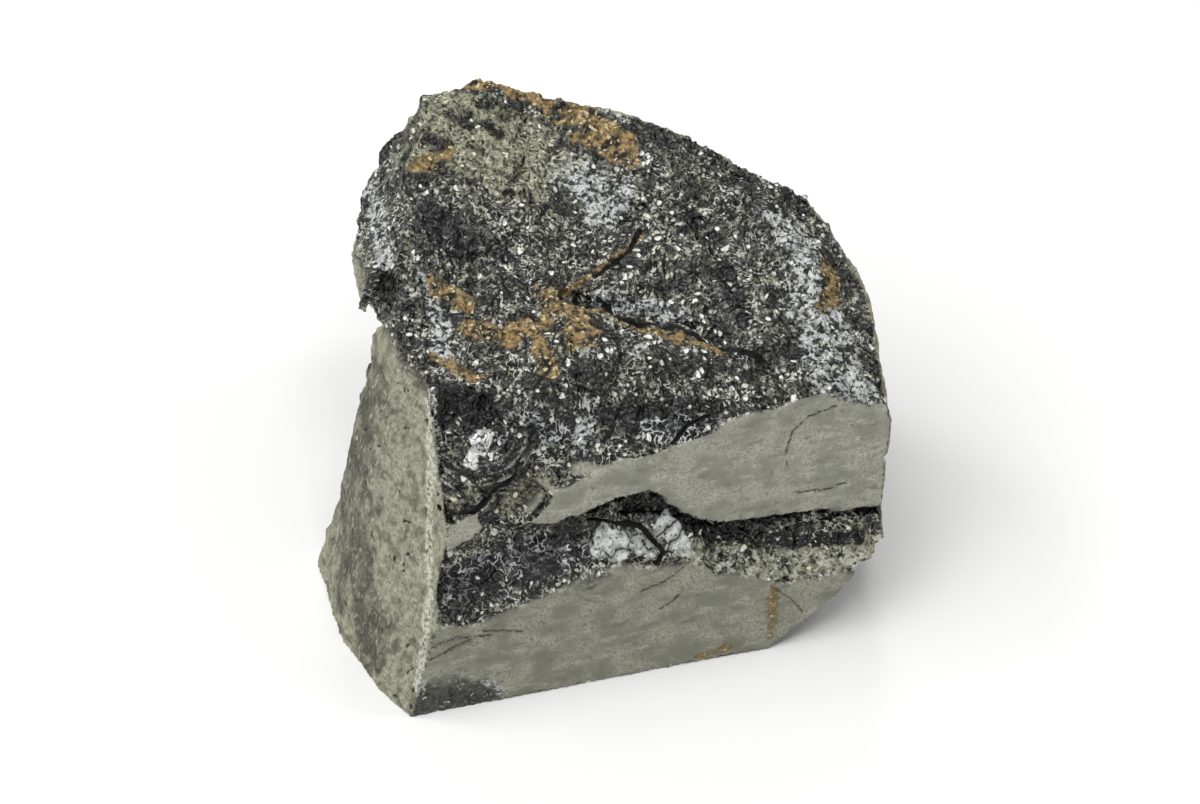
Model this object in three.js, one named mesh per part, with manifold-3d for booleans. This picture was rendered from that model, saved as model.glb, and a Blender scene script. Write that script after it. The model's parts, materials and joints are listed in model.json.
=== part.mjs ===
// A lump of hard coal, broken from the seam, lying on its flat bedding face.
// Millimetres. +Z is up, +X is to the right and -Y faces the viewer, who sees the two smooth bands.
// The origin is on the surface the lump lies on, under the middle of its bounding box.

import * as THREE from "three";
import { ImprovedNoise } from "three/addons/math/ImprovedNoise.js";
import { mergeVertices } from "three/addons/utils/BufferGeometryUtils.js";
import Module from "manifold-3d";

// Driving dimensions: the lump's overall size.
const WIDTH = 76;
const DEPTH = 76;
const HEIGHT = 52;

const wasm = await Module();
wasm.setup();
const noise = new ImprovedNoise();

// A point given as shares of the lump: x and y from -1 to 1, z from 0 to 1.
function at(x, y, z) {
  return new THREE.Vector3((x * WIDTH) / 2, (y * DEPTH) / 2, z * HEIGHT);
}

// The way a broken face looks: bearing turns from the viewer (0) through the right (90) to the back (180),
// and rise tips it up from the horizon, both in degrees.
function facing(bearing, rise) {
  const turn = THREE.MathUtils.degToRad(bearing);
  const tip = THREE.MathUtils.degToRad(rise);
  return new THREE.Vector3(
    Math.sin(turn) * Math.cos(tip),
    -Math.cos(turn) * Math.cos(tip),
    Math.sin(tip),
  );
}

// A repeatable number from 0 to 1 for a cell of a grid.
function chance(i, j, seed) {
  const wave = Math.sin(i * 127.1 + j * 311.7 + seed * 74.7) * 43758.5453;
  return wave - Math.floor(wave);
}

// Shallow bowls with sharp rims between them, each about size across and tipped its own way.
function scallops(u, v, size, seed) {
  const column = Math.floor(u / size);
  const row = Math.floor(v / size);
  let nearest = Infinity;
  let tipped = 0;
  for (let i = column - 1; i <= column + 1; i += 1) {
    for (let j = row - 1; j <= row + 1; j += 1) {
      const du = u / size - i - chance(i, j, seed);
      const dv = v / size - j - chance(i, j, seed + 5);
      const away = du * du + dv * dv;
      if (away < nearest) {
        nearest = away;
        tipped =
          du * (chance(i, j, seed + 9) - 0.5) +
          dv * (chance(i, j, seed + 11) - 0.5);
      }
    }
  }
  return Math.min(nearest, 1) - 0.35 + 0.8 * tipped;
}

// Flat treads with short risers between them, as the coal parts along its bedding.
function terraces(u, v, size, tall, seed) {
  const swell = 3.2 * noise.noise(u / size, v / size, seed);
  return tall * (0.8 * Math.round(swell) + 0.2 * swell);
}

// Relief of each kind of break, in millimetres, at a place on the face.
const relief = {
  bedding: () => 0,
  smooth: (u, v, seed) => 0.45 * noise.noise(u / 24, v / 14, seed),
  dull: (u, v, seed) =>
    0.8 * noise.noise(u / 16, v / 16, seed) +
    0.35 * scallops(u, v, 6, seed) +
    0.3 * noise.noise(u / 4, v / 4, seed + 7),
  cleaved: (u, v, seed) =>
    1.1 * noise.noise(u / 18, v / 13, seed) +
    terraces(u, v, 21, 0.7, seed + 3) +
    0.6 * scallops(u, v, 8, seed) +
    0.3 * noise.noise(u / 4, v / 4, seed + 7),
  crystalline: (u, v, seed) =>
    1.2 * noise.noise(u / 17, v / 17, seed) +
    terraces(u, v, 15, 0.7, seed + 3) +
    0.9 * scallops(u, v, 5.5, seed) +
    0.6 * noise.noise(u / 3.4, v / 3.4, seed + 13),
};

// How far apart the points of each kind of break are.
const spacing = { bedding: 40, smooth: 4, dull: 3, cleaved: 2.8, crystalline: 2.3 };

// How far a whole break reaches from its middle, and how thick the waste beyond it is.
const REACH = 84;
const WASTE = 80;

function solidOf(geometry) {
  geometry.deleteAttribute("normal");
  geometry.deleteAttribute("uv");
  const merged = mergeVertices(geometry, 1e-4);
  return new wasm.Manifold(
    new wasm.Mesh({
      numProp: 3,
      vertProperties: merged.attributes.position.array,
      triVerts: new Uint32Array(merged.index.array),
    }),
  );
}

// The turn that stands a face's own axes on the lump: first level along it, then up its slope, then out of it.
function standing(out) {
  const level = new THREE.Vector3(0, 0, 1).cross(out);
  if (level.length() < 1e-3) {
    level.set(1, 0, 0);
  }
  level.normalize();
  const slope = out.clone().cross(level);
  return new THREE.Matrix4().makeBasis(level, slope, out);
}

// The waste outside one broken face: a thick block whose inner side carries the face's relief, or a share of it.
function waste({ through, bearing, rise, kind, share = 1, seed = 1 }) {
  const steps = Math.max(1, Math.round((2 * REACH) / spacing[kind]));
  const cell = (2 * REACH) / steps;
  const block = new THREE.BoxGeometry(2 * REACH, 2 * REACH, WASTE, steps, steps, 1);
  const position = block.attributes.position;
  for (let i = 0; i < position.count; i += 1) {
    if (position.getZ(i) > 0) {
      position.setZ(i, WASTE);
      continue;
    }
    const column = Math.round(position.getX(i) / cell + steps / 2);
    const row = Math.round(position.getY(i) / cell + steps / 2);
    const inside = column > 0 && column < steps && row > 0 && row < steps;
    const slip = inside && kind !== "bedding" ? 0.7 * cell : 0;
    const u = position.getX(i) + slip * (chance(column, row, seed + 31) - 0.5);
    const v = position.getY(i) + slip * (chance(column, row, seed + 57) - 0.5);
    position.setXYZ(i, u, v, share * relief[kind](u, v, seed * 3.7));
  }
  block.applyMatrix4(standing(facing(bearing, rise)));
  block.translate(through.x, through.y, through.z);
  return solidOf(block);
}

// What one set of breaks takes away together: the waste that is outside all of them.
function bite(...faces) {
  return faces.map(waste).reduce((left, next) => left.intersect(next));
}

// How far the lumps of a scar stand out, and how far apart they are.
const LUMP_TALL = 0.9;
const LUMP_WIDE = 4;

// A round scar where a flake sprang off: a shallow cap of a lumpy ball, deepest in its middle.
function scar({ middle, bearing, rise, radius, deep }) {
  const rows = Math.round(radius / 2) + 3;
  const ball = new THREE.IcosahedronGeometry(radius, rows);
  const position = ball.attributes.position;
  const point = new THREE.Vector3();
  for (let i = 0; i < position.count; i += 1) {
    point.fromBufferAttribute(position, i);
    const place = point.clone().divideScalar(LUMP_WIDE);
    point.setLength(radius + LUMP_TALL * noise.noise(place.x, place.y, place.z + radius));
    position.setXYZ(i, point.x, point.y, point.z);
  }
  const out = facing(bearing, rise).multiplyScalar(radius - deep);
  ball.translate(middle.x + out.x, middle.y + out.y, middle.z + out.z);
  return solidOf(ball);
}

// How far a crack's wedge stands proud of the surface it cuts, and how much of it is left at its ends.
const PROUD = 3;
const TAPER = 0.25;

// A crack along a line of points: a wedge that opens the way it faces and thins out at both ends.
function crack({ along, bearing, rise, wide, deep }) {
  const out = facing(bearing, rise);
  const last = along.length - 1;
  const corners = [];
  along.forEach((point, i) => {
    const way = along[Math.min(i + 1, last)].clone().sub(along[Math.max(i - 1, 0)]);
    const side = way.cross(out).normalize();
    const share = i === 0 || i === last ? TAPER : 1;
    const sunk = deep * share;
    const half = (wide * share * (sunk + PROUD)) / sunk / 2;
    const top = point.clone().addScaledVector(out, PROUD);
    corners.push(
      top.clone().addScaledVector(side, -half),
      point.clone().addScaledVector(out, -sunk),
      top.clone().addScaledVector(side, half),
    );
  });
  const triangles = [0, 1, 2, 3 * last, 3 * last + 2, 3 * last + 1];
  for (let i = 0; i < last; i += 1) {
    for (let k = 0; k < 3; k += 1) {
      const a = 3 * i + k;
      const b = 3 * i + ((k + 1) % 3);
      triangles.push(b, a, a + 3, b, a + 3, b + 3);
    }
  }
  const wedge = new THREE.BufferGeometry().setFromPoints(corners);
  wedge.setIndex(triangles);
  return solidOf(wedge);
}

// The breaks that bound the lump, from the base round to the top.
const breaks = {
  base: { through: at(0, 0, 0), bearing: 0, rise: -90, kind: "bedding" },
  lowerFront: { through: at(-0.67, -0.99, 0), bearing: 14.5, rise: 9, kind: "smooth", seed: 2 },
  leftStrip: { through: at(-0.67, -0.99, 0), bearing: -53, rise: 19, kind: "dull", seed: 3 },
  leftFoot: { through: at(-0.87, -0.7, 0), bearing: -62, rise: 16.6, kind: "dull", seed: 16 },
  leftSide: { through: at(-0.97, -0.45, 0), bearing: -73, rise: 15, kind: "dull", seed: 17 },
  leftBack: { through: at(-0.86, 0.32, 0.81), bearing: -97, rise: 8, kind: "cleaved", seed: 4 },
  leftEdge: { through: at(-0.7, 0.32, 0.93), bearing: -91, rise: 43, kind: "cleaved", seed: 5 },
  backCorner: { through: at(-0.7, 0.77, 0.9), bearing: -128, rise: 5, kind: "cleaved", seed: 19 },
  backLeft: { through: at(-0.3, 0.97, 0.9), bearing: -158, rise: -2, kind: "cleaved", seed: 6 },
  back: { through: at(0, 0.95, 0.9), bearing: 159, rise: -4, kind: "crystalline", seed: 7 },
  rightBack: { through: at(0.5, 0.64, 0.8), bearing: 150, rise: 6, kind: "cleaved", seed: 8 },
  rightCorner: { through: at(0.86, 0.32, 0.78), bearing: 118, rise: 4, kind: "dull", seed: 9 },
  rightUpper: { through: at(0.975, -0.13, 0.72), bearing: 96, rise: 11, kind: "dull", seed: 10 },
  right: { through: at(1, -0.24, 0.46), bearing: 97, rise: -3, kind: "dull", seed: 20 },
  rightFoot: { through: at(0.88, -0.6, 0.16), bearing: 85, rise: -50, kind: "cleaved", seed: 13 },
  top: { through: at(-0.48, -0.44, 0.827), bearing: 35.5, rise: 77.6, kind: "crystalline", seed: 11 },
  crown: { through: at(-0.4, 0.8, 0.99), bearing: -150, rise: 76, kind: "dull", seed: 21 },
  topRight: { through: at(0.8, 0.1, 0.765), bearing: 75, rise: 60, kind: "crystalline", seed: 22 },
  shoulder: { through: at(-0.25, -0.68, 0.594), bearing: 12, rise: 41, kind: "crystalline", seed: 12 },
};

// The step between the two smooth bands of the front: the upper band stands back behind a rough ledge.
const upperFront = {
  through: at(0.17, -0.566, 0.504), bearing: 17, rise: 8, kind: "smooth", seed: 14,
};
const ledgeEnd = {
  through: at(-0.566, -0.805, 0.435), bearing: -35, rise: 42, kind: "crystalline", share: 0.35, seed: 28,
};
const ledgeLeft = {
  through: at(-0.15, -0.8, 0.3), bearing: 12.5, rise: 27.5, kind: "crystalline", share: 0.45, seed: 15,
};
const ledgeTurn = {
  through: at(0.29, -0.68, 0.32), bearing: 35, rise: 41, kind: "crystalline", share: 0.35, seed: 29,
};
const ledgeRight = {
  through: at(0.76, -0.58, 0.205), bearing: 17, rise: 48, kind: "crystalline", share: 0.35, seed: 18,
};
const frontSteps = [
  [upperFront, ledgeEnd],
  [upperFront, ledgeLeft],
  [upperFront, ledgeTurn, ledgeRight],
];

// Steps on the sides turned away from the viewer, each the waste outside a break and the ledge beside it.
const farSteps = [
  [
    { through: at(-0.97, 0, 0), bearing: -101, rise: 11.5, kind: "cleaved", share: 0.6, seed: 25 },
    { through: at(-0.8, 0.3, 0.72), bearing: -95, rise: -38, kind: "crystalline", share: 0.6, seed: 26 },
  ],
  [
    { through: at(0.1, 0.78, 0.6), bearing: 165, rise: 4, kind: "smooth", seed: 23 },
    { through: at(0.1, 0.9, 0.42), bearing: 172, rise: 52, kind: "crystalline", seed: 24 },
  ],
];

// Round scars: the black hollow and the bright one on the shoulder, the dark notch beside the upper band,
// and those on the sides turned away.
const scars = [
  { middle: at(-0.46, -0.52, 0.765), bearing: 5, rise: 42, radius: 9, deep: 1.2 },
  { middle: at(-0.39, -0.59, 0.7), bearing: -10, rise: 50, radius: 5, deep: 0.8 },
  { middle: at(-0.47, -0.69, 0.655), bearing: 8, rise: 30, radius: 10, deep: 1.1 },
  { middle: at(-0.29, -0.68, 0.55), bearing: 10, rise: 20, radius: 8, deep: 0.9 },
  { middle: at(0.6, 0.62, 0.4), bearing: 148, rise: 4, radius: 34, deep: 1 },
  { middle: at(-0.6, 0.84, 0.4), bearing: -145, rise: 0, radius: 34, deep: 1.1 },
  { middle: at(0.98, 0.1, 0.4), bearing: 104, rise: 4, radius: 34, deep: 1.3 },
  { middle: at(0, 0.95, 0.2), bearing: 175, rise: -12, radius: 26, deep: 1.6 },
];

const cracks = [
  // Across the top, under the edge of the layer behind it.
  {
    along: [
      at(-0.14, -0.02, 0.83), at(-0.08, -0.04, 0.825), at(0.08, -0.06, 0.81), at(0.18, -0.09, 0.8),
      at(0.3, -0.1, 0.79), at(0.42, -0.15, 0.775), at(0.5, -0.18, 0.76),
    ],
    bearing: 10, rise: 48, wide: 1.3, deep: 2.2,
  },
  // The fine one behind it.
  {
    along: [at(-0.11, 0.11, 0.845), at(-0.02, 0.2, 0.85), at(0.06, 0.29, 0.853), at(0.15, 0.38, 0.853)],
    bearing: 40, rise: 70, wide: 0.9, deep: 1.2,
  },
  // The groove along the shoulder.
  {
    along: [at(-0.01, -0.49, 0.735), at(0.12, -0.46, 0.735), at(0.28, -0.43, 0.735), at(0.45, -0.42, 0.72)],
    bearing: 12, rise: 25, wide: 2.4, deep: 1.8,
  },
  // The recess under the lip of the upper band, in its right half.
  {
    along: [
      at(0.3, -0.55, 0.4), at(0.42, -0.54, 0.34), at(0.6, -0.5, 0.325), at(0.8, -0.46, 0.315),
      at(0.98, -0.42, 0.31),
    ],
    bearing: 17, rise: -8, wide: 3.2, deep: 3,
  },
  // The small recess under the highest point of that lip.
  {
    along: [at(-0.06, -0.64, 0.48), at(0.06, -0.6, 0.49), at(0.17, -0.575, 0.495), at(0.3, -0.56, 0.44)],
    bearing: 15, rise: 0, wide: 2.2, deep: 2,
  },
  // Under the shoulder at the far left of the upper band.
  {
    along: [at(-0.56, -0.74, 0.6), at(-0.48, -0.73, 0.575), at(-0.38, -0.7, 0.575), at(-0.28, -0.68, 0.59)],
    bearing: 12, rise: 10, wide: 1.1, deep: 1.6,
  },
  // The open cleft down the left side, which parts the left face from the flaking side behind it.
  {
    along: [at(-0.54, -0.06, 0.9), at(-0.7, -0.07, 0.86), at(-0.76, -0.03, 0.72), at(-0.8, 0, 0.55)],
    bearing: -98, rise: 35, wide: 3.8, deep: 2.6,
  },
  // Down the back and across the right side.
  {
    along: [at(-0.2, 1, 0.75), at(-0.12, 1, 0.5), at(-0.16, 1.02, 0.25), at(-0.1, 1.03, 0.1)],
    bearing: 178, rise: 5, wide: 1.6, deep: 3,
  },
  {
    along: [at(0.99, 0.02, 0.6), at(1.01, -0.1, 0.5), at(1.01, -0.24, 0.42), at(1.0, -0.34, 0.4)],
    bearing: 97, rise: 0, wide: 1.2, deep: 1.8,
  },
];

let lump = solidOf(new THREE.BoxGeometry(WIDTH + 8, DEPTH + 8, 2 * HEIGHT + 16));
const cuts = [
  ...Object.values(breaks).map(waste),
  ...[...frontSteps, ...farSteps].map((faces) => bite(...faces)),
  ...scars.map(scar),
  ...cracks.map(crack),
];
for (const cut of cuts) {
  lump = lump.subtract(cut);
}
const { min, max } = lump.boundingBox();
lump = lump.translate([-(min[0] + max[0]) / 2, -(min[1] + max[1]) / 2, -min[2]]);

function meshOf(solid, name, material) {
  const made = solid.getMesh();
  const geometry = new THREE.BufferGeometry();
  geometry.setAttribute(
    "position",
    new THREE.BufferAttribute(new Float32Array(made.vertProperties), 3),
  );
  geometry.setIndex(new THREE.BufferAttribute(new Uint32Array(made.triVerts), 1));
  geometry.computeVertexNormals();
  const mesh = new THREE.Mesh(geometry, material);
  mesh.name = name;
  return mesh;
}

const coal = new THREE.MeshStandardMaterial({
  color: 0x3a3b36,
  roughness: 0.42,
  metalness: 0.1,
});

const part = new THREE.Group();
part.add(meshOf(lump, "coal_lump", coal));
export default part;
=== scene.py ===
"""A lump of hard coal on a pale studio floor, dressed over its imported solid.

The lump is copied from the frame, remeshed fine, and given what the eye sees from close by: crumpled
crystals on the glassy breaks, pits on the dull ones, and colour that follows each kind of break.
Places and lengths are in millimetres, as in the solid's own source, until MM turns them to metres.
"""

import json
import math

import bpy
import numpy as np
from bpy.props import FloatProperty, FloatVectorProperty, IntProperty, PointerProperty
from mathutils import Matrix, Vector, noise

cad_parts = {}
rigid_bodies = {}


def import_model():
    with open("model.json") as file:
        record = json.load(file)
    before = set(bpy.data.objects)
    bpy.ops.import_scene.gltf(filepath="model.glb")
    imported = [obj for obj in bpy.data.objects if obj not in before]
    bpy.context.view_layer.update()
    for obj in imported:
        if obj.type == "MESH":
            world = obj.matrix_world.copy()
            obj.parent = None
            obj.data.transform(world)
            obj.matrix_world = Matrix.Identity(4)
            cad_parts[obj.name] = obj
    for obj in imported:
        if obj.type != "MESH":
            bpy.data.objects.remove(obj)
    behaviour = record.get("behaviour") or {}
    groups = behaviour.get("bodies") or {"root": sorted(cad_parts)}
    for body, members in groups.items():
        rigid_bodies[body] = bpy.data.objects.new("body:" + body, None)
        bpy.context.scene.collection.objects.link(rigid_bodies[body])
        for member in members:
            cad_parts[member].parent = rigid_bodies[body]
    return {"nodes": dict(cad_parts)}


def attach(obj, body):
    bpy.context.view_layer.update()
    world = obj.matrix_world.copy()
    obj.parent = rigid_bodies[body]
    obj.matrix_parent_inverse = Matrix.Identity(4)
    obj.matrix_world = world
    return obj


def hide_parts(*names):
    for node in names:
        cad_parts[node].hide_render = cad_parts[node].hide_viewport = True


bl_info = {
    "name": "Coal lump",
    "version": (1, 0, 0),
    "blender": (4, 5, 0),
    "location": "View3D > Sidebar > Coal",
    "description": "Dresses a packed solid as a lump of hard coal on a studio floor",
    "category": "Object",
}

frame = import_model()

MM = 0.001
NODE = "coal_lump"
PIECE = "hard_coal_lump"


def linear(hex_colour):
    """The linear red, green and blue of an sRGB hex colour such as "#8b8c7c"."""
    parts = [int(hex_colour[i : i + 2], 16) / 255 for i in (1, 3, 5)]
    return tuple(c / 12.92 if c <= 0.04045 else ((c + 0.055) / 1.055) ** 2.4 for c in parts)


def facing(bearing, rise):
    """The way a face looks: bearing turns from the viewer through the right, rise tips it up, in degrees."""
    turn, tip = math.radians(bearing), math.radians(rise)
    return Vector((math.sin(turn) * math.cos(tip), -math.cos(turn) * math.cos(tip), math.sin(tip)))


# The smooth and the dull breaks of the solid: a point on each, its bearing and its rise.
LOWER_BAND = ((-25.5, -37.5, 0.0), 14.5, 9.0)
UPPER_BAND = ((6.4, -21.4, 26.2), 17.0, 8.0)
REAR_BAND = ((3.7, 29.8, 31.2), 165.0, 4.0)
DULL_BREAKS = (
    ((-25.5, -37.5, 0.0), -53.0, 19.0),
    ((-33.1, -26.5, 0.0), -62.0, 16.6),
    ((-36.9, -17.0, 0.0), -73.0, 15.0),
    ((32.6, 12.3, 40.6), 118.0, 4.0),
    ((37.0, -4.8, 37.4), 96.0, 11.0),
    ((38.0, -9.0, 23.9), 97.0, -3.0),
)

# Where the bands end, as height above x: the lower band at its top, the upper band at its lip and its crest.
FOOT = ((-22.2, 14.5), (-17.0, 13.4), (-8.2, 15.7), (0.5, 18.0), (11.8, 16.7), (19.2, 12.6), (24.2, 10.3),
        (35.5, 9.9))
LIP = ((-22.0, 23.8), (-17.0, 25.0), (-14.5, 27.2), (-5.8, 24.7), (4.2, 26.0), (8.0, 25.0), (11.8, 21.0),
       (16.8, 17.8), (24.2, 17.3), (36.8, 15.8))
CREST = ((-22.0, 31.0), (-15.8, 30.4), (-14.0, 28.1), (-10.8, 31.0), (-7.0, 33.3), (-0.8, 34.5), (19.2, 35.9),
         (29.2, 36.3), (35.5, 32.8))

# Runs of a finish or of painted light or shade: a half width, then the places that it passes. RAGGED says how
# torn its edge is.
RUNS = {
    "rust": (
        (1.6, ((-21.6, -1.8, 46.0), (-17.9, -4.1, 44.8))),
        (1.7, ((-16.6, -7.1, 43.6), (-12.9, -8.2, 43.4), (-9.3, -8.0, 43.5), (-6.8, -5.9, 43.9))),
        (2.7, ((-6.1, -2.3, 43.8), (-2.6, -5.2, 43.4), (-3.2, -8.6, 43.3))),
        (1.2, ((-8.0, -10.2, 43.3), (-6.8, -14.2, 42.7))),
        (0.9, ((-0.7, -2.4, 42.5), (4.2, -4.4, 41.4), (7.9, -5.8, 40.7), (16.0, -7.3, 39.7))),
        (0.6, ((-3.2, 0.6, 43.8), (0.5, 4.0, 43.8), (5.4, 10.0, 44.4))),
        (1.8, ((-18.0, 32.4, 51.0), (-12.0, 32.0, 50.4), (-7.1, 30.1, 49.4))),
        (2.8, ((-3.3, 28.3, 49.3), (0.0, 25.3, 48.6), (3.0, 23.2, 48.2))),
        (1.2, ((30.4, 7.8, 40.3), (31.6, 3.9, 38.8), (30.2, 0.7, 39.6))),
        (1.2, ((-24.5, 16.5, 50.3), (-20.2, 19.5, 50.6))),
        (0.9, ((-21.4, -12.7, 43.0), (-16.5, -15.2, 42.1))),
        (0.4, ((23.4, -23.2, 9.6), (22.8, -24.8, 2.1))),
        (0.6, ((18.0, -25.6, 1.6), (13.5, -27.2, 0.8))),
    ),
    # Painted sheen: the pale glints and bluish-white shine of facets turned to the light.
    "painted_sheen": (
        (3.4, ((-5.0, 19.1, 47.5), (1.7, 16.1, 46.2))),
        (2.6, ((-1.5, 17.7, 47.1), (0.5, 12.5, 45.6))),
        (2.8, ((24.5, 14.0, 42.8), (27.9, 8.5, 42.1), (27.5, 3.8, 40.7))),
        (4.2, ((29.2, 0.2, 39.2), (31.0, -7.0, 36.8), (33.7, -11.0, 35.0))),
        (1.6, ((0.6, -0.6, 42.4), (4.2, -1.4, 42.0), (9.5, -1.6, 41.0))),
        (1.4, ((-1.0, -16.8, 38.2), (-2.6, -21.0, 34.2))),
        (0.9, ((-15.1, -34.2, 4.3), (-13.2, -34.1, 1.6))),
        (2.4, ((14.0, -24.0, 15.6), (22.0, -22.5, 13.6), (34.5, -18.5, 11.8))),
        (1.0, ((4.2, -10.3, 42.4), (6.0, -9.0, 41.8))),
        (1.8, ((-31.0, 20.0, 43.4), (-29.6, 10.0, 45.0), (-28.6, 3.0, 45.6))),
        (1.3, ((-23.4, -1.0, 45.6), (-20.6, -8.0, 44.0), (-21.2, -15.0, 42.8))),
    ),
    "pale": (
        (2.4, ((1.4, -25.3, 20.8), (6.2, -24.8, 20.4))),
        (2.0, ((9.6, -22.4, 21.2), (11.4, -23.6, 18.8))),
    ),
    # Painted highlight: the bright facet on the shoulder, white with light streaks.
    "white": (
        (1.3, ((-16.8, -23.0, 34.9), (-15.3, -21.4, 36.3))),
        (0.8, ((-16.4, -21.7, 36.2), (-14.8, -20.9, 36.9))),
    ),
    # Near-black glossy facets on the top, and painted shade in the hollow on the shoulder, along the lip of
    # the upper band and on the ledge under it.
    "black": (
        (3.4, ((-19.6, -18.6, 40.3), (-16.2, -19.2, 39.2))),
        (1.1, ((0.5, -17.1, 36.7), (4.2, -16.3, 36.2), (9.1, -15.2, 36.5), (16.9, -15.7, 37.1))),
        (2.8, ((-22.5, 7.8, 48.8), (-18.6, 5.2, 47.0))),
        (1.3, ((-14.3, 5.4, 46.0), (-12.4, 4.4, 45.6))),
        (1.3, ((11.7, 13.5, 45.2), (12.6, 11.4, 44.8))),
        (1.2, ((16.6, 5.9, 42.1), (19.0, -2.5, 39.9))),
        (1.6, ((4.2, -22.4, 24.6), (8.4, -21.4, 23.8), (11.6, -20.7, 20.3), (16.7, -19.2, 16.9))),
        (1.1, ((16.7, -19.2, 16.9), (26.7, -18.6, 14.2), (34.7, -17.0, 13.4))),
        (2.4, ((-18.5, -29.0, 17.5), (-14.0, -28.0, 15.8))),
    ),
    # The left end of the dull face, painted darker.
    "dark_left_strip": (
        (6.6, ((-31.4, -9.0, 32.4), (-33.2, -11.1, 20.3), (-33.8, -18.1, 9.6), (-31.5, -26.0, 6.0))),
    ),
    "olive": (
        (3.2, ((12.5, -24.0, 16.6), (19.0, -22.6, 14.6), (27.0, -20.6, 13.0), (35.0, -18.0, 12.6))),
        (9.0, ((-21.0, 24.0, 50.5), (-12.0, 20.0, 48.5))),
        (2.2, ((-12.0, -26.0, 28.6), (-7.0, -24.6, 31.4))),
        (1.0, ((-21.1, -26.4, 30.3), (-17.7, -26.5, 31.0), (-13.6, -24.8, 32.0))),
    ),
    "chips": (
        (3.9, ((-23.4, -36.7, 2.2), (-20.0, -35.8, 2.2))),
        (3.0, ((-20.0, -35.8, 2.2), (-15.4, -34.6, 1.2))),
    ),
    # A dark ground crossed by thin light strokes, which are painted highlights.
    "web": (
        (3.4, ((-19.0, -29.6, 18.6), (-12.0, -28.0, 18.8), (-4.4, -26.2, 20.6))),
        (2.6, ((-11.6, -20.4, 38.0), (-5.0, -20.2, 36.8))),
        (2.4, ((5.0, -18.4, 34.8), (14.0, -17.0, 35.2))),
    ),
    # Painted highlight along the front left edge.
    "edge": (
        (1.0, ((-22.0, -18.2, 41.6), (-22.1, -23.6, 33.2), (-22.5, -27.7, 23.4), (-22.8, -32.6, 14.3),
               (-24.0, -36.6, 4.0))),
    ),
    # The shell-like break; its light arcs are painted highlights on the crests of its ribs.
    "shell": (
        (3.4, ((-19.7, -24.9, 32.8), (-13.4, -24.0, 32.6), (-10.9, -22.8, 34.9))),
    ),
    # Cracks: grooves in the relief, painted near black inside as painted shadow.
    "crack": (
        (0.7, ((0.6, -1.4, 41.2), (1.7, -2.3, 41.7), (3.5, -3.4, 41.7), (5.9, -3.5, 40.9), (8.4, -3.5, 40.6),
               (10.8, -4.3, 40.5))),
        (0.6, ((10.8, -4.3, 40.5), (13.3, -5.5, 40.2), (16.0, -6.2, 39.7), (21.4, -7.7, 38.1))),
        (0.45, ((-0.7, 2.1, 43.7), (1.2, 4.6, 43.9), (3.7, 6.8, 43.9), (5.2, 10.4, 44.2))),
        (0.5, ((-21.2, -26.8, 29.4), (-18.9, -27.6, 29.0), (-16.5, -27.2, 29.2), (-12.4, -24.8, 30.8),
               (-10.9, -24.4, 33.0))),
        (0.42, ((-0.7, -24.1, 24.0), (5.4, -23.2, 22.2), (8.6, -24.8, 18.9), (7.6, -25.8, 17.6))),
        (0.3, ((9.5, -19.0, 33.7), (11.5, -17.0, 34.9), (14.4, -16.3, 35.9))),
    ),
    "scratch": (
        (0.22, ((31.2, -12.5, 33.8), (27.5, -13.8, 33.1), (25.4, -14.7, 31.2), (24.7, -15.6, 28.5),
                (24.9, -16.2, 25.5))),
        (0.2, ((35.0, -13.2, 21.4), (30.4, -15.0, 20.6), (26.0, -16.3, 21.2))),
        (0.2, ((35.8, -12.4, 25.4), (33.0, -13.6, 23.0))),
        (0.2, ((7.9, -27.3, 10.3), (9.8, -26.6, 11.2), (11.2, -26.0, 12.8))),
        (0.2, ((5.4, -27.4, 13.8), (8.7, -26.4, 14.8), (11.1, -25.4, 16.3))),
        (0.3, ((-22.7, -35.4, 9.0), (-19.9, -34.5, 10.2), (-16.5, -33.4, 11.6))),
        (0.3, ((-22.4, -35.0, 11.1), (-18.9, -34.0, 11.9), (-14.3, -32.9, 11.3))),
        (0.2, ((-15.5, -33.1, 12.3), (-10.1, -31.9, 11.0))),
        (0.2, ((22.9, -23.2, 10.3), (25.5, -23.0, 7.9), (27.3, -23.0, 5.3))),
    ),
}
RAGGED = {"rust": 1.4, "painted_sheen": 0.9, "pale": 0.9, "white": 1.0, "black": 0.5, "dark_left_strip": 1.2, "olive": 0.5,
          "chips": 0.5, "web": 0.5, "edge": 0.9, "shell": 0.3, "crack": 0.25, "scratch": 0.5}

# The shell-like break: the middle of its arcs and how far apart they are.
SHELL_HEART = (-15.2, -21.2, 37.4)
SHELL_SPACING = 1.3

# Relief: the drop of the recess under the upper band's lip, the width of the ribs on the dull breaks, the
# length of the slow swell, the depths of scratches and cracks, and how many crystals wide a facet is on the
# hidden sides.
RECESS_DROP = 0.9
RIB_WIDTH = 1.1
SWELL_LENGTH = 4
SCRATCH_DEPTH = 0.2
CRACK_DEPTH = 0.5
HIDDEN_FACET = 3

# Rounds of smoothing behind a frayed border, and the angle in degrees from which an edge stays sharp.
FRAY_ROUNDS = 50
SHARP_ANGLE = 32


class CoalSizes(bpy.types.PropertyGroup):
    """Sizes of the lump's fine relief."""

    grain: FloatProperty(
        name="Mesh grain",
        description="Spacing of the remeshed surface",
        default=0.33 * MM,
        subtype="DISTANCE",
    )
    crystal: FloatProperty(
        name="Crystal",
        description="Width of a crystal on the glassy breaks",
        default=2.6 * MM,
        subtype="DISTANCE",
    )
    fold: FloatProperty(
        name="Fold",
        description="Width of a fold in the crumpled crystals",
        default=1.2 * MM,
        subtype="DISTANCE",
    )
    pit: FloatProperty(
        name="Pit spacing",
        description="Spacing of the pits in the dull breaks",
        default=1.9 * MM,
        subtype="DISTANCE",
    )
    triangles: IntProperty(
        name="Triangles",
        description="Triangles that the finished lump keeps",
        default=196000,
        min=20000,
    )


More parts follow.
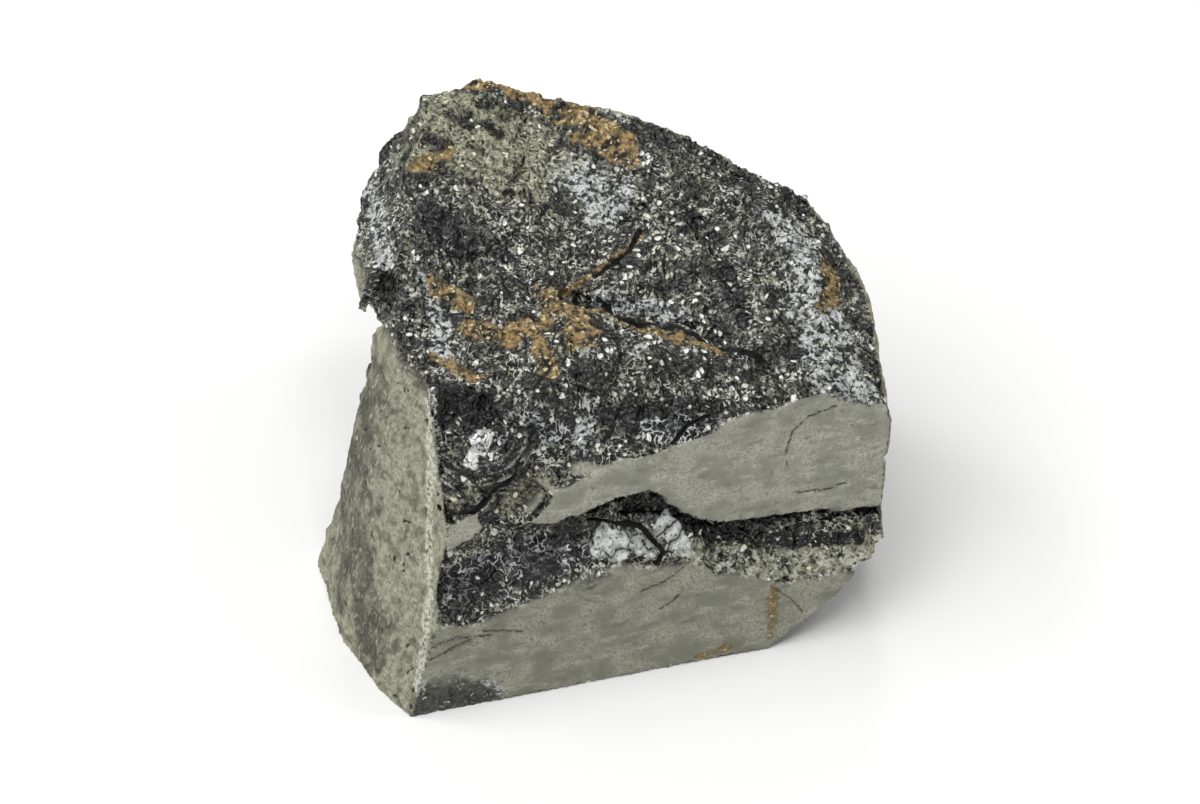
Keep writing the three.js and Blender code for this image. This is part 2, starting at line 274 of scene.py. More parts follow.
def add(tree, kind, inputs=None, take=None, **settings):
    """A new node with its settings, its inputs linked or set: gives the output named take, or the first."""
    node = tree.nodes.new(kind)
    for name, value in settings.items():
        setattr(node, name, value)
    for key, value in (inputs or {}).items():
        if isinstance(value, bpy.types.NodeSocket):
            tree.links.new(value, node.inputs[key])
        elif isinstance(value, str) and value.startswith("#"):
            node.inputs[key].default_value = (*linear(value), 1)
        else:
            node.inputs[key].default_value = value
    if take:
        return node.outputs[take]
    return next((socket for socket in node.outputs if socket.enabled), None)


def bent(tree, place, size, reach, stretch):
    """The place pushed about by soft noise of a size, by up to reach, then stretched, so patterns drift."""
    push = add(tree, "ShaderNodeTexNoise", {"Vector": place, "Scale": 1 / size, "Detail": 1.0}, take="Color")
    way = add(tree, "ShaderNodeVectorMath", {0: push, 1: (0.5, 0.5, 0.5)}, operation="SUBTRACT")
    twice = (2 * reach, 2 * reach, 2 * reach)
    pushed = add(tree, "ShaderNodeVectorMath", {0: way, 1: twice, 2: place}, operation="MULTIPLY_ADD")
    return add(tree, "ShaderNodeVectorMath", {0: pushed, 1: stretch}, operation="MULTIPLY")


def crystal_height(tree, place, width):
    """Pyramids with flat sides that lean every way."""
    drift = bent(tree, place, 3 * width, 1.2 * width, (1, 0.62, 0.8))
    cells = {"Vector": drift, "Scale": 1 / width}
    steep = add(tree, "ShaderNodeTexVoronoi", cells, take="Distance", distance="MANHATTAN")
    terms = {0: steep, 1: -0.3 * width, 2: 0.12 * width}
    return add(tree, "ShaderNodeMath", terms, operation="MULTIPLY_ADD")


def fold_height(tree, place, width):
    """Short sharp folds, two or three times as long as wide."""
    drift = bent(tree, place, 6 * width, 3 * width, (1, 0.45, 0.8))
    folds = add(
        tree,
        "ShaderNodeTexNoise",
        {"Vector": drift, "Scale": 0.8 / width, "Detail": 2.0, "Roughness": 0.6, "Offset": 1.0, "Gain": 2.0},
        noise_type="RIDGED_MULTIFRACTAL",
        normalize=False,
    )
    terms = {0: folds, 1: 0.26 * width, 2: -0.35 * width}
    return add(tree, "ShaderNodeMath", terms, operation="MULTIPLY_ADD")


def pit_height(tree, place, width):
    """Small pits, taller than wide, in two cells of five."""
    drift = bent(tree, place, 1.2 * width, 0.8 * width, (1, 1, 0.55))
    cells = add(tree, "ShaderNodeTexVoronoi", {"Vector": drift, "Scale": 1 / width}, take="Distance")
    wall = add(
        tree,
        "ShaderNodeMapRange",
        {"Value": cells, "From Min": 0.08, "From Max": 0.32, "To Min": -0.18 * width, "To Max": 0.0},
        interpolation_type="SMOOTHSTEP",
    )
    chance = add(tree, "ShaderNodeSeparateXYZ", {0: cells.node.outputs["Color"]})
    chosen = add(tree, "ShaderNodeMath", {0: chance, 1: 0.6}, operation="GREATER_THAN")
    return add(tree, "ShaderNodeMath", {0: wall, 1: chosen}, operation="MULTIPLY")


def upright_height(tree, place, width):
    """Short upright ribs, three times as tall as wide."""
    drift = bent(tree, place, 4 * width, width, (1, 1, 0.33))
    ribs = add(tree, "ShaderNodeTexNoise", {"Vector": drift, "Scale": 1 / width, "Detail": 2.0})
    terms = {0: ribs, 1: 0.5 * width, 2: -0.25 * width}
    return add(tree, "ShaderNodeMath", terms, operation="MULTIPLY_ADD")


def swell_height(tree, place, width):
    """A slow rise and fall."""
    swell = add(tree, "ShaderNodeTexNoise", {"Vector": place, "Scale": 1 / width, "Detail": 3.0})
    terms = {0: swell, 1: 0.16 * width, 2: -0.08 * width}
    return add(tree, "ShaderNodeMath", terms, operation="MULTIPLY_ADD")


def arcs(tree, place, spacing):
    """A wave from -1 to 1 along arcs about the heart of the shell-like break."""
    heart = tuple(length * MM for length in SHELL_HEART)
    away = add(tree, "ShaderNodeVectorMath", {0: place, 1: heart}, take="Value", operation="DISTANCE")
    turn = add(tree, "ShaderNodeMath", {0: away, 1: math.tau / spacing}, operation="MULTIPLY")
    return add(tree, "ShaderNodeMath", {0: turn}, operation="SINE")


def shell_height(tree, place, spacing):
    """Low ridges along the arcs of the shell-like break."""
    wave = arcs(tree, place, spacing)
    return add(tree, "ShaderNodeMath", {0: wave, 1: 0.1 * spacing}, operation="MULTIPLY")


def drop_height(tree, place, depth):
    """An even drop."""
    return add(tree, "ShaderNodeMath", {0: -depth, 1: 0.0}, operation="ADD")


def relief_tree(layers):
    """A Geometry Nodes group that moves the surface along its normal by the sum of its layers.

    Each layer is the mark that holds it to its part of the lump, the function for its height, and a size.
    At the foot of the lump the mark "lift" takes away all movement up or down, so the base stays flat.
    """
    tree = bpy.data.node_groups.new("coal relief", "GeometryNodeTree")
    tree.interface.new_socket("Geometry", in_out="INPUT", socket_type="NodeSocketGeometry")
    tree.interface.new_socket("Geometry", in_out="OUTPUT", socket_type="NodeSocketGeometry")
    place = add(tree, "GeometryNodeInputPosition")
    total = add(tree, "ShaderNodeMath", {0: 0.0, 1: 0.0}, operation="ADD")
    read = {"take": "Attribute", "data_type": "FLOAT"}
    for mark, height, size in layers:
        share = add(tree, "GeometryNodeInputNamedAttribute", {"Name": mark}, **read)
        raised = height(tree, place, size)
        total = add(tree, "ShaderNodeMath", {0: raised, 1: share, 2: total}, operation="MULTIPLY_ADD")
    normal = add(tree, "GeometryNodeInputNormal")
    offset = add(tree, "ShaderNodeVectorMath", {0: normal, "Scale": total}, operation="SCALE")
    lift = add(tree, "GeometryNodeInputNamedAttribute", {"Name": "lift"}, **read)
    level = add(tree, "ShaderNodeMath", {0: lift, 1: 0.5, 2: 0.5}, operation="MULTIPLY_ADD")
    keep = add(tree, "ShaderNodeCombineXYZ", {"X": level, "Y": level, "Z": lift})
    kept = add(tree, "ShaderNodeVectorMath", {0: offset, 1: keep}, operation="MULTIPLY")
    surface = add(tree, "NodeGroupInput")
    moved = add(tree, "GeometryNodeSetPosition", {"Geometry": surface, "Offset": kept})
    add(tree, "NodeGroupOutput", {0: moved})
    return tree


def numbers_of(items, name, size):
    """One property of all of a mesh's vertices or edges, as rows of a size."""
    values = np.empty(size * len(items), np.int32 if name == "vertices" else np.float32)
    items.foreach_get(name, values)
    return values.reshape(-1, size)


def ramp(values, low, high):
    """0 below low, 1 above high, smooth between."""
    share = np.clip((values - low) / (high - low), 0, 1)
    return share * share * (3 - 2 * share)


def speckle(points, size, seed):
    """Smooth noise from -1 to 1 with features of about size millimetres."""
    shift = Vector((seed, 2 * seed, 3 * seed))
    return np.array([noise.noise(Vector(p) + shift) for p in points / size])


def on_break(points, normals, plane, reach, close):
    """1 where the surface lies within reach of a break and looks its way, 0 off it.

    close is the least cosine of the angle between the surface's way and the break's.
    """
    through, bearing, rise = plane
    way = np.array(facing(bearing, rise))
    off = np.abs((points - np.array(through)) @ way)
    return (1 - ramp(off, 0.6 * reach, reach)) * ramp(normals @ way, close - 0.08, close)


def above(points, line, ragged):
    """1 above a line drawn on a band and 0 below it."""
    x, z = np.array(line).T
    return ramp(points[:, 2] - np.interp(points[:, 0], x, z) + ragged, -0.35, 0.35)


def beside(points, runs, ragged):
    """1 in the middle of the runs and 0 outside them, with a ragged edge."""
    best = np.zeros(len(points))
    for width, path in runs:
        away = np.full(len(points), np.inf)
        corners = np.array(path)
        for start, end in zip(corners[:-1], corners[1:]):
            along = end - start
            share = np.clip((points - start) @ along / (along @ along), 0, 1)
            away = np.minimum(away, np.linalg.norm(points - start - share[:, None] * along, axis=1))
        best = np.maximum(best, 1 - ramp(away / width + ragged, 0.5, 1.2))
    return best


def frayed(mesh, values, ragged):
    """A mark with its border moved in and out by a millimetre or so."""
    first, second = numbers_of(mesh.edges, "vertices", 2).T
    size = len(values)
    count = np.bincount(first, minlength=size) + np.bincount(second, minlength=size)
    for _ in range(FRAY_ROUNDS):
        total = np.bincount(first, values[second], size) + np.bincount(second, values[first], size)
        values = total / np.maximum(count, 1)
    return ramp(values + 0.6 * ragged, 0.4, 0.6)


def write_mark(mesh, name, values):
    """Stores one number a vertex for the material and the relief to read."""
    attribute = mesh.attributes.new(name, "FLOAT", "POINT")
    attribute.data.foreach_set("value", values.astype(np.float32))


def mark_breaks(mesh):
    """Marks what kind of break, and what finish, each vertex is on."""
    points = numbers_of(mesh.vertices, "co", 3) / MM
    normals = numbers_of(mesh.vertices, "normal", 3)
    ragged = 0.6 * speckle(points, 1.8, 3) + 0.4 * speckle(points, 0.7, 5)
    run = {name: beside(points, runs, RAGGED[name] * ragged) for name, runs in RUNS.items()}

    foot = above(points, FOOT, 0.7 * ragged)
    lip = above(points, LIP, 0.6 * ragged)
    crest = above(points, CREST, 0.9 * ragged)
    lower = on_break(points, normals, LOWER_BAND, 1.2, 0.95) * (1 - foot)
    upper = on_break(points, normals, UPPER_BAND, 1.2, 0.93)
    broad = 0.6 * speckle(points, 5, 7) + 0.5 * ragged
    rear = frayed(mesh, on_break(points, normals, REAR_BAND, 1.4, 0.95), broad)
    rear = rear * (1 - ramp(normals[:, 2], 0.3, 0.6))
    band = np.maximum.reduce([lower, upper * lip * (1 - crest), rear]) * (1 - run["chips"])
    dull = np.maximum.reduce([on_break(points, normals, plane, 2.2, 0.86) for plane in DULL_BREAKS])
    # The breaks that the viewer sees keep their crisp edges.
    behind = ramp(points[:, 1], -8, 0)
    dull = dull * (1 - behind) + frayed(mesh, dull, broad) * behind
    # The tip at the upper left is glassy, though it is in line with a dull break.
    left_tip = ramp(points[:, 2], 40, 43) * ramp(-points[:, 0], 20, 24)
    dull = dull * (1 - band) * (1 - left_tip)
    glass = (1 - band) * (1 - dull)
    # On the sides that the viewer doesn't see, the glass has larger and calmer facets.
    sideways = ramp(normals[:, 1] + 0.8 * np.abs(normals[:, 0]), 0.3, 0.7)
    deep = glass * sideways * (1 - ramp(normals[:, 2], 0.4, 0.7))

    write_mark(mesh, "lift", ramp(points[:, 2], 0.3, 1.6))
    write_mark(mesh, "band", band)
    write_mark(mesh, "low_band", lower)
    write_mark(mesh, "dull", dull)
    calm = (1 - 0.5 * run["chips"]) * (1 - 0.6 * run["white"]) * (1 - 0.5 * deep)
    write_mark(mesh, "glass_relief", glass * calm)
    write_mark(mesh, "deep", deep)
    write_mark(mesh, "under", upper * (1 - lip) * (1 - band))
    for name, values in run.items():
        write_mark(mesh, name, values)


def mark_ridges(mesh):
    """Marks how proud each vertex stands of its neighbours: above 0 on a ridge, below 0 in a hollow."""
    points = numbers_of(mesh.vertices, "co", 3)
    normals = numbers_of(mesh.vertices, "normal", 3)
    first, second = numbers_of(mesh.edges, "vertices", 2).T
    gap = points[first] - points[second]
    gap /= np.linalg.norm(gap, axis=1)[:, None] + 1e-9
    total = np.zeros(len(points))
    count = np.zeros(len(points))
    np.add.at(total, first, np.einsum("ij,ij->i", gap, normals[first]))
    np.add.at(total, second, -np.einsum("ij,ij->i", gap, normals[second]))
    np.add.at(count, first, 1)
    np.add.at(count, second, 1)
    write_mark(mesh, "ridge", total / np.maximum(count, 1))


# Finishes, painted light and painted shade, laid over each other from the ground up. Each is a colour, how it
# mixes, and its holds: a pattern or mark that holds it to its places, with the value where it starts and the
# value where it is full.
GLASS = "#090908"
GLASS_FINISHES = (
    ("#20211d", "MIX", (("fine", 0.38, 0.62),)),
    ("#4a4b41", "MIX", (("fine", 0.5, 0.68), ("mottle", 0.4, 0.6))),
    ("#7e7f6d", "MIX", (("fleck", 0.66, 0.46), ("fleck_tone", 0.4, 0.9), ("cloud", 0.4, 0.56))),
    ("#98998a", "MIX", (("olive", 0.2, 0.8), ("fine", 0.6, 0.46), ("mottle", 0.34, 0.5))),
    # Painted shade in the hollows of the glass.
    ("#060606", "MIX", (("ridge", -0.03, -0.2),)),
    # Painted highlights on the ridges of the glass.
    ("#aaab9b", "MIX", (("ridge", 0.12, 0.36), ("fine", 0.38, 0.56))),
    # Painted highlights: light curls across the glass.
    ("#b0b1a2", "MIX", (("curl", 0.03, 0.01), ("cloud", 0.48, 0.6))),
    # Painted glints: light grit.
    ("#c5c6b8", "MIX", (("grit", 0.95, 0.7), ("grit_tone", 0.76, 0.88), ("mottle", 0.4, 0.54))),
    # Painted shade: darker patches about 4 mm across, standing in for the shading of larger facets.
    ("#aeafa9", "MULTIPLY", (("mottle", 0.5, 0.36),)),
    # Painted highlights: bright curls.
    ("#e6e7e0", "MIX", (("curl", 0.018, 0.005), ("mottle", 0.5, 0.62), ("fine", 0.4, 0.52))),
    # Painted glints: the lightest flecks, near white.
    ("#f2f3ee", "MIX", (("fleck", 0.5, 0.38), ("fleck_tone", 0.91, 0.95))),
    ("#0b0b0b", "MIX", (("deep", 0.1, 0.8), ("cloud", 0.72, 0.5))),
    # Painted highlights on the ridges of the hidden sides.
    ("#5d5e56", "MIX", (("deep", 0.2, 0.8), ("ridge", 0.14, 0.36), ("fine", 0.4, 0.56))),
    # Web: near-black ground, grey patches, and thin light strokes painted as highlights.
    ("#101010", "MIX", (("web", 0.2, 0.7), ("fleck_tone", 0.96, 0.86))),
    ("#7f8181", "MIX", (("web", 0.3, 0.7), ("cloud", 0.52, 0.64), ("fine", 0.46, 0.58))),
    ("#c6c8c8", "MIX", (("web", 0.3, 0.7), ("curl", 0.04, 0.012), ("mottle", 0.42, 0.56))),
    ("#1b1b1a", "MIX", (("shell", 0.2, 0.7), ("fleck_tone", 0.85, 0.7), ("cloud", 0.62, 0.5))),
    # Painted highlights on the crests of the shell's ribs.
    ("#92958f", "MIX", (("shell", 0.3, 0.8), ("arc", 0.5, 1.0), ("fine", 0.42, 0.56), ("cloud", 0.36, 0.5))),
    ("#3c3d37", "MIX", (("chips", 0.2, 0.7), ("fine", 0.3, 0.55))),
    # Painted sheen: light patches where facets would shine, broken by dark strokes.
    ("#c9cdcc", "MIX", (("painted_sheen", 0.15, 0.8), ("fine", 0.43, 0.55), ("cloud", 0.38, 0.5))),
    ("#3a3c3c", "MIX", (("painted_sheen", 0.15, 0.8), ("curl", 0.016, 0.003))),
    ("#efeedc", "MULTIPLY", (("olive", 0.1, 0.8),)),
    # Near-black facets, partly painted shade under the upper band's lip and in the shoulder's hollow.
    ("#070707", "MIX", (("black", 0.15, 0.6), ("grit_tone", 0.98, 0.92))),
    ("#a4a6a1", "MIX", (("pale", 0.3, 0.6), ("plate", 0.01, 0.04), ("fine", 0.3, 0.42))),
    (
        "#dcded9",
        "MIX",
        (("pale", 0.3, 0.6), ("plate", 0.04, 0.12), ("cloud", 0.38, 0.52), ("fine", 0.34, 0.46)),
    ),
    # Painted highlight on the bright facet of the shoulder, with dark strokes across it.
    ("#b4b6b2", "MIX", (("white", 0.15, 0.5), ("fine", 0.32, 0.44))),
    ("#f6f7f4", "MIX", (("white", 0.2, 0.6), ("smear", 0.44, 0.52))),
    ("#2e2f2d", "MIX", (("white", 0.1, 0.4), ("curl", 0.03, 0.008))),
    # Painted highlight along the front left edge.
    ("#c8cac4", "MIX", (("edge", 0.3, 0.8), ("fine", 0.45, 0.6))),
)
BAND = "#898a7b"
BAND_FINISHES = (
    ("#adae9e", "MIX", (("mottle", 0.34, 0.64),)),
    ("#babbac", "MIX", (("smear", 0.52, 0.74),)),
    ("#7a7b6c", "MIX", (("smear", 0.45, 0.27),)),
    ("#8a8b7d", "MIX", (("grain", 0.46, 0.66),)),
    ("#6c6d60", "MIX", (("fine", 0.58, 0.72), ("cloud", 0.44, 0.62))),
    ("#e2e2de", "MULTIPLY", (("low_band", 0.0, 1.0),)),
    ("#4a4b42", "MIX", (("scratch", 0.2, 0.9), ("fine", 0.36, 0.52))),
)
DULL = "#73715d"
DULL_FINISHES = (
    ("#aaa892", "MIX", (("cloud", 0.34, 0.6),)),
    # Darker towards the left end of the dull face.
    ("#4c4b41", "MIX", (("dark_left_strip", 0.0, 0.8), ("mottle", 0.8, 0.38))),
    ("#b8b6a3", "MIX", (("upright", 0.54, 0.72), ("mottle", 0.34, 0.54))),
    ("#64634f", "MIX", (("upright", 0.42, 0.26), ("mottle", 0.62, 0.44))),
    ("#85836d", "MIX", (("fine", 0.46, 0.66), ("cloud", 0.4, 0.6))),
    # Painted shade in the pits and hollows of the dull breaks.
    ("#2c2c25", "MIX", (("ridge", -0.08, -0.24),)),
    # Painted highlight along the front left edge.
    ("#d0cfc0", "MIX", (("edge", 0.1, 0.8), ("fine", 0.4, 0.58))),
)
LAST_FINISHES = (
    ("#d8c89e", "MULTIPLY", (("rust", 0.0, 0.4),)),
    ("#715f3f", "MIX", (("rust", 0.1, 0.7), ("cloud", 0.38, 0.52), ("fine", 0.3, 0.46))),
    ("#a68a5b", "MIX", (("rust", 0.2, 0.8), ("fine", 0.42, 0.6), ("cloud", 0.42, 0.56))),
    ("#cbc098", "MIX", (("rust", 0.3, 0.9), ("grit_tone", 0.8, 0.9), ("grit", 0.9, 0.7))),
    # Painted shadow inside the cracks.
    ("#0b0a09", "MIX", (("crack", 0.15, 0.6),)),
)


def laid_over(tree, ground, finishes, patterns):
    """The ground colour with the finishes, painted light and painted shade laid over it in turn."""
    colour = ground
    for tint, blend, holds in finishes:
        share = None
        for name, start, full in holds:
            limits = {"Value": patterns[name], "From Min": start, "From Max": full}
            eased = add(tree, "ShaderNodeMapRange", limits, interpolation_type="SMOOTHSTEP")
            if share is None:
                share = eased
            else:
                share = add(tree, "ShaderNodeMath", {0: share, 1: eased}, operation="MULTIPLY")
        mix = {"Factor": share, "A": colour, "B": tint}
        colour = add(tree, "ShaderNodeMix", mix, data_type="RGBA", blend_type=blend)
    return colour


# How strongly coal bends light. The real value is higher, but under this broad white light it would grey the
# blacks, which the eye sees as deep.
COAL_IOR = 1.52

# Widths of the patterns in the material: flecks, grit, the plates of the pale block, and the curls.
FLECK_WIDTH = 0.8
GRIT_WIDTH = 0.5
PLATE_WIDTH = 4.6
CURL_WIDTH = 1.3


def coal_material():
    """Hard coal as broken: grey-green bands that scatter light, black glassy crystals that throw it back.
    Glints, sheen, edge highlights and the shade in hollows and cracks are also painted into the colour.
    """
    material = bpy.data.materials.new("hard_coal_broken")
    material.use_nodes = True
    tree = material.node_tree
    tree.nodes.clear()
    place = add(tree, "ShaderNodeTexCoord", take="Object")
    marks = ("band", "low_band", "dull", "deep", "ridge", *RUNS)
    patterns = {name: add(tree, "ShaderNodeAttribute", take="Fac", attribute_name=name) for name in marks}

    # Crystal flecks and finer grit, each its own grey, and plates that meet in lines. The lightest flecks and
    # grit are painted glints.
    # The dust on real coal is finer still: the grit is drawn coarser, at a third of a millimetre, so that it
    # shows.
    swayed = bent(tree, place, 2.2 * MM, 0.9 * MM, (1, 1, 1))
    for name, width, shape in (("fleck", FLECK_WIDTH, "EUCLIDEAN"), ("grit", GRIT_WIDTH, "MANHATTAN")):
        lie = {"Vector": swayed, "Scale": 1 / (width * MM)}
        patterns[name] = add(tree, "ShaderNodeTexVoronoi", lie, take="Distance", distance=shape)
        shade = patterns[name].node.outputs["Color"]
        patterns[name + "_tone"] = add(tree, "ShaderNodeSeparateXYZ", {0: shade}, take="X")
    lie = {"Vector": swayed, "Scale": 1 / (PLATE_WIDTH * MM)}
    patterns["plate"] = add(tree, "ShaderNodeTexVoronoi", lie, take="Distance", feature="DISTANCE_TO_EDGE")

    # Curls: thin light strokes along the level lines of a noise; laid light on the glass, they are painted
    # highlights.
    drift = bent(tree, place, 3 * MM, 1.2 * MM, (1, 1, 1))
    curl = add(tree, "ShaderNodeTexNoise", {"Vector": drift, "Scale": 1 / (CURL_WIDTH * MM), "Detail": 1.5})
    off = add(tree, "ShaderNodeMath", {0: curl, 1: 0.5}, operation="SUBTRACT")
    patterns["curl"] = add(tree, "ShaderNodeMath", {0: off}, operation="ABSOLUTE")

    patterns["arc"] = arcs(tree, place, SHELL_SPACING * MM)

    # Noises: clouds of darker and lighter tone, fine broken glass, the drag of the slip on the bands, and
    # ribs on the dull breaks.
    for name, width, stretch in (
        ("cloud", 1.6, (1, 1, 1)),
        ("mottle", 4.0, (1, 1, 1)),
        ("fine", 0.55, (1, 1, 1)),
        ("grain", 0.35, (1, 1, 1)),
        ("smear", 1.2, (0.4, 0.4, 1)),
        ("upright", 0.5, (1, 1, 0.22)),
    ):
        drift = bent(tree, place, 8 * width * MM, 1.2 * width * MM, stretch)
        lie = {"Vector": drift, "Scale": 1 / (width * MM), "Detail": 3.0}
        patterns[name] = add(tree, "ShaderNodeTexNoise", lie)

    glass = laid_over(tree, GLASS, GLASS_FINISHES, patterns)
    band = laid_over(tree, BAND, BAND_FINISHES, patterns)
    dull = laid_over(tree, DULL, DULL_FINISHES, patterns)
    mix = {"Factor": patterns["band"], "A": glass, "B": band}
    banded = add(tree, "ShaderNodeMix", mix, data_type="RGBA")
    mix = {"Factor": patterns["dull"], "A": banded, "B": dull}
    broken = add(tree, "ShaderNodeMix", mix, data_type="RGBA")
    colour = laid_over(tree, broken, LAST_FINISHES, patterns)

    # Roughness: each fleck of glass has its own shine, the bands are satin, and the rest is dull.
    gloss = add(tree, "ShaderNodeMapRange", {"Value": patterns["fleck_tone"], "To Min": 0.4, "To Max": 0.12})
    for name, roughness in (("band", 0.5), ("dull", 0.75), ("rust", 0.8), ("crack", 1.0)):
        gloss = add(tree, "ShaderNodeMix", {"Factor": patterns[name], "A": gloss, "B": roughness})

    # Bumps too fine for the mesh: flecks and splinters off the bands, ribs on the dull breaks, and grain on
    # the bands.
    bare = add(tree, "ShaderNodeMath", {0: 1.0, 1: patterns["band"]}, operation="SUBTRACT")
    normal = None
    for pattern, strength, depth in (
        ("fleck", bare, 0.4),
        ("fine", bare, 0.16),
        ("upright", patterns["dull"], 0.3),
        ("grain", patterns["band"], 0.1),
    ):
        lie = {"Height": patterns[pattern], "Strength": strength, "Distance": depth * MM}
        if normal:
            lie["Normal"] = normal
        normal = add(tree, "ShaderNodeBump", lie)
    skin = {"Base Color": colour, "Roughness": gloss, "Normal": normal, "IOR": COAL_IOR}
    surface = add(tree, "ShaderNodeBsdfPrincipled", skin)
    add(tree, "ShaderNodeOutputMaterial", {"Surface": surface})
    return material


def apply_modifier(piece, kind, **settings):
    """Adds a modifier with its settings and applies it."""
    modifier = piece.modifiers.new(kind.title(), kind)
    for name, value in settings.items():
        setattr(modifier, name, value)
    bpy.ops.object.modifier_apply(modifier=modifier.name)


def drop_crumbs(piece):
    """Deletes what remeshing leaves loose in the narrowest cracks: all that doesn't join the lump's top."""
    bpy.ops.object.mode_set(mode="EDIT")
    bpy.ops.mesh.select_mode(type="VERT")
    bpy.ops.mesh.select_all(action="DESELECT")
    bpy.ops.object.mode_set(mode="OBJECT")
    top = max(piece.data.vertices, key=lambda vertex: vertex.co.z)
    top.select = True
    bpy.ops.object.mode_set(mode="EDIT")
    bpy.ops.mesh.select_linked()
    bpy.ops.mesh.select_all(action="INVERT")
    bpy.ops.mesh.delete(type="VERT")
    bpy.ops.object.mode_set(mode="OBJECT")


class OBJECT_OT_coal_lump(bpy.types.Operator):
    """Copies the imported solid, gives it its fine relief and dresses it as broken coal"""

    bl_idname = "object.coal_lump"
    bl_label = "Coal lump"

    def execute(self, context):
        sizes = context.scene.coal_sizes
        bpy.ops.object.select_all(action="DESELECT")
        solid = frame["nodes"][NODE]
        solid.select_set(True)
        context.view_layer.objects.active = solid
        bpy.ops.object.duplicate()
        piece = context.active_object
        piece.name = PIECE
        piece.data.name = PIECE
        bpy.ops.object.parent_clear(type="CLEAR_KEEP_TRANSFORM")
        bpy.ops.object.mode_set(mode="EDIT")
        bpy.ops.mesh.select_all(action="SELECT")
        bpy.ops.mesh.remove_doubles(threshold=0.001 * MM)
        bpy.ops.object.mode_set(mode="OBJECT")
        piece.data.materials.clear()

        apply_modifier(piece, "REMESH", mode="VOXEL", voxel_size=sizes.grain)
        mark_breaks(piece.data)
        layers = (
            ("glass_relief", crystal_height, sizes.crystal),
            ("glass_relief", fold_height, sizes.fold),
            ("deep", crystal_height, HIDDEN_FACET * sizes.crystal),
            ("under", drop_height, RECESS_DROP * MM),
            ("dull", pit_height, sizes.pit),
            ("dull", upright_height, RIB_WIDTH * MM),
            ("dull", swell_height, SWELL_LENGTH * MM),
            ("band", swell_height, SWELL_LENGTH * MM),
            ("shell", shell_height, SHELL_SPACING * MM),
            ("scratch", drop_height, SCRATCH_DEPTH * MM),
            ("crack", drop_height, CRACK_DEPTH * MM),
        )
        apply_modifier(piece, "NODES", node_group=relief_tree(layers))
        triangles = sum(len(face.vertices) - 2 for face in piece.data.polygons)
        apply_modifier(piece, "DECIMATE", ratio=min(1, sizes.triangles / triangles))
        drop_crumbs(piece)
        mark_ridges(piece.data)
        bpy.ops.object.shade_smooth_by_angle(angle=math.radians(SHARP_ANGLE))
        piece.data.materials.append(coal_material())
        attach(piece, "root")
        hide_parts(NODE)
        return {"FINISHED"}


class CoalStudio(bpy.types.PropertyGroup):
    """The floor and the lights."""

    floor_colour: FloatVectorProperty(
        name="Floor",
        description="Colour of the floor",
        default=linear("#fafaf9"),
        subtype="COLOR",
        size=3,
    )
    air: FloatProperty(
        name="Air",
        description="Brightness of the white surroundings",
        default=0.34,
    )
    key_power: FloatProperty(
        name="Key light",
        description="Power of the broad light above",
        default=4.0,
        unit="POWER",
    )
    glint_power: FloatProperty(
        name="Glint lights",
        description="Power of each small bright light",
        default=0.8,
        unit="POWER",
    )


# The camera looks along +Y from 45 degrees above, 0.7 metres from the middle of the lump.
VIEW_RISE = 45
VIEW_DISTANCE = 700
VIEW_TARGET = Vector((0, -2.9, 25))
SENSOR_WIDTH = 36
VIEW_LENS = 156

# The studio: the floor's side, the lights' sides and how far they hang from the lump.
FLOOR_SIDE = 6000
KEY_SIDE = 700
GLINT_SIDE = 160
LIGHT_DISTANCE = 800


def soft_light(name, side, power, bearing, rise):
    """A square soft light, its side in millimetres, turned to the lump from a bearing and a rise."""
    way = facing(bearing, rise)
    bpy.ops.object.light_add(type="AREA", location=(VIEW_TARGET + way * LIGHT_DISTANCE) * MM)
    light = bpy.context.active_object
    light.name = name
    light.data.shape = "SQUARE"
    light.data.size = side * MM
    light.data.energy = power
    light.rotation_euler = way.to_track_quat("Z", "Y").to_euler()


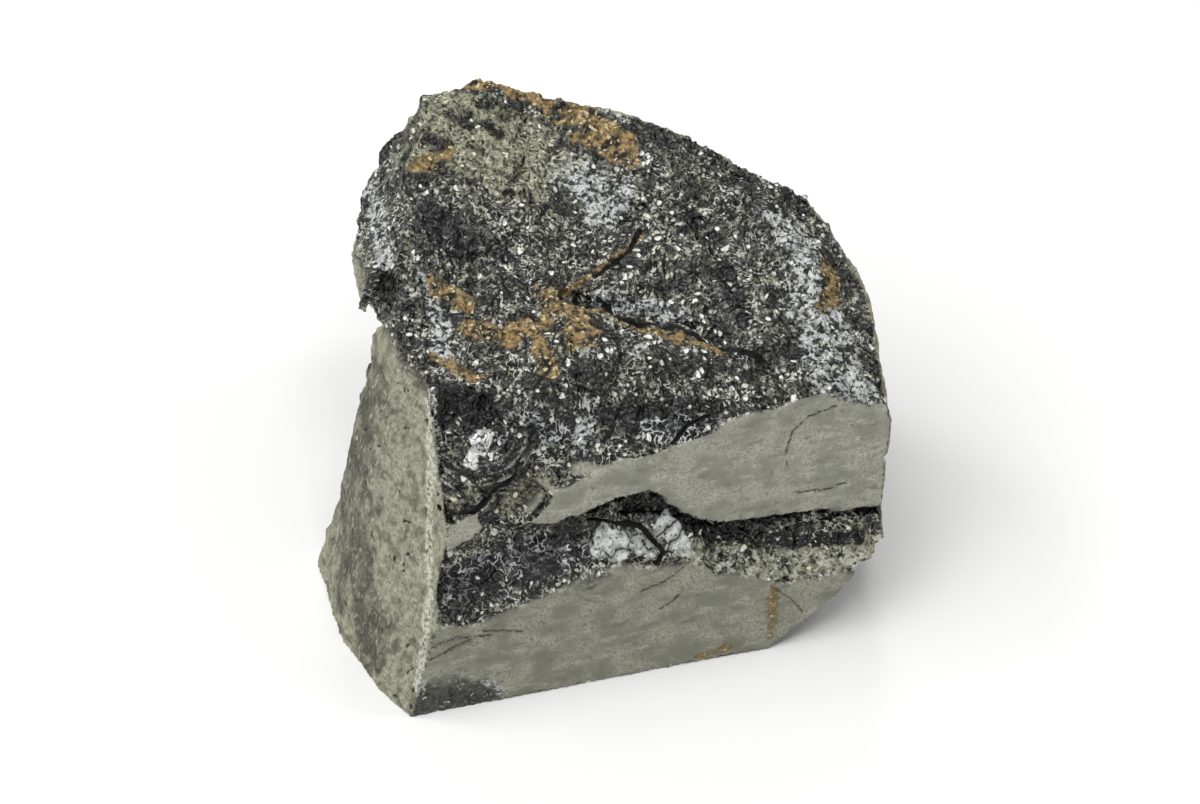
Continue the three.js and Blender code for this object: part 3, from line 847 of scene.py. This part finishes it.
class OBJECT_OT_coal_studio(bpy.types.Operator):
    """Lays the floor, hangs the lights and sets the camera"""

    bl_idname = "object.coal_studio"
    bl_label = "Studio"

    def execute(self, context):
        studio = context.scene.coal_studio
        bpy.ops.object.select_all(action="DESELECT")
        bpy.ops.mesh.primitive_plane_add(size=FLOOR_SIDE * MM)
        floor = context.active_object
        floor.name = "studio_floor"
        # Matt white paper: no shine, only a pale ground that takes soft shadows.
        paper = bpy.data.materials.new("matt_white_paper")
        paper.use_nodes = True
        surface = paper.node_tree.nodes["Principled BSDF"]
        surface.inputs["Base Color"].default_value = (*studio.floor_colour, 1)
        surface.inputs["Roughness"].default_value = 0.9
        floor.data.materials.append(paper)

        soft_light("key_light", KEY_SIDE, studio.key_power, -70, 62)
        for side, bearing, rise in (
            ("left", -115, 48),
            ("rear", 178, 42),
            ("right", 100, 50),
            ("front", 25, 70),
        ):
            soft_light(side + "_glint_light", GLINT_SIDE, studio.glint_power, bearing, rise)

        world = bpy.data.worlds.new("studio_air")
        world.use_nodes = True
        world.node_tree.nodes["Background"].inputs["Color"].default_value = (1, 1, 1, 1)
        world.node_tree.nodes["Background"].inputs["Strength"].default_value = studio.air
        context.scene.world = world

        back = facing(0, VIEW_RISE)
        bpy.ops.object.camera_add(location=(VIEW_TARGET + back * VIEW_DISTANCE) * MM)
        camera = context.active_object
        camera.name = "photo_camera"
        camera.rotation_euler = back.to_track_quat("Z", "Y").to_euler()
        camera.data.sensor_width = SENSOR_WIDTH
        camera.data.lens = VIEW_LENS
        camera.data.clip_start = 10 * MM
        context.scene.camera = camera
        context.scene.view_settings.view_transform = "Standard"
        return {"FINISHED"}


class VIEW3D_PT_coal(bpy.types.Panel):
    """Lists what can be made again and the sizes it is made with"""

    bl_label = "Coal lump"
    bl_space_type = "VIEW_3D"
    bl_region_type = "UI"
    bl_category = "Coal"

    def draw(self, context):
        layout = self.layout
        for name in CoalSizes.__annotations__:
            layout.prop(context.scene.coal_sizes, name)
        layout.operator(OBJECT_OT_coal_lump.bl_idname)
        for name in CoalStudio.__annotations__:
            layout.prop(context.scene.coal_studio, name)
        layout.operator(OBJECT_OT_coal_studio.bl_idname)


CLASSES = (CoalSizes, CoalStudio, OBJECT_OT_coal_lump, OBJECT_OT_coal_studio, VIEW3D_PT_coal)


def register():
    for cls in CLASSES:
        bpy.utils.register_class(cls)
    bpy.types.Scene.coal_sizes = PointerProperty(type=CoalSizes)
    bpy.types.Scene.coal_studio = PointerProperty(type=CoalStudio)


def unregister():
    del bpy.types.Scene.coal_studio
    del bpy.types.Scene.coal_sizes
    for cls in reversed(CLASSES):
        bpy.utils.unregister_class(cls)


def main():
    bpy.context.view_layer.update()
    register()
    bpy.ops.object.coal_lump()
    bpy.ops.object.coal_studio()


if __name__ == "__main__":
    main()
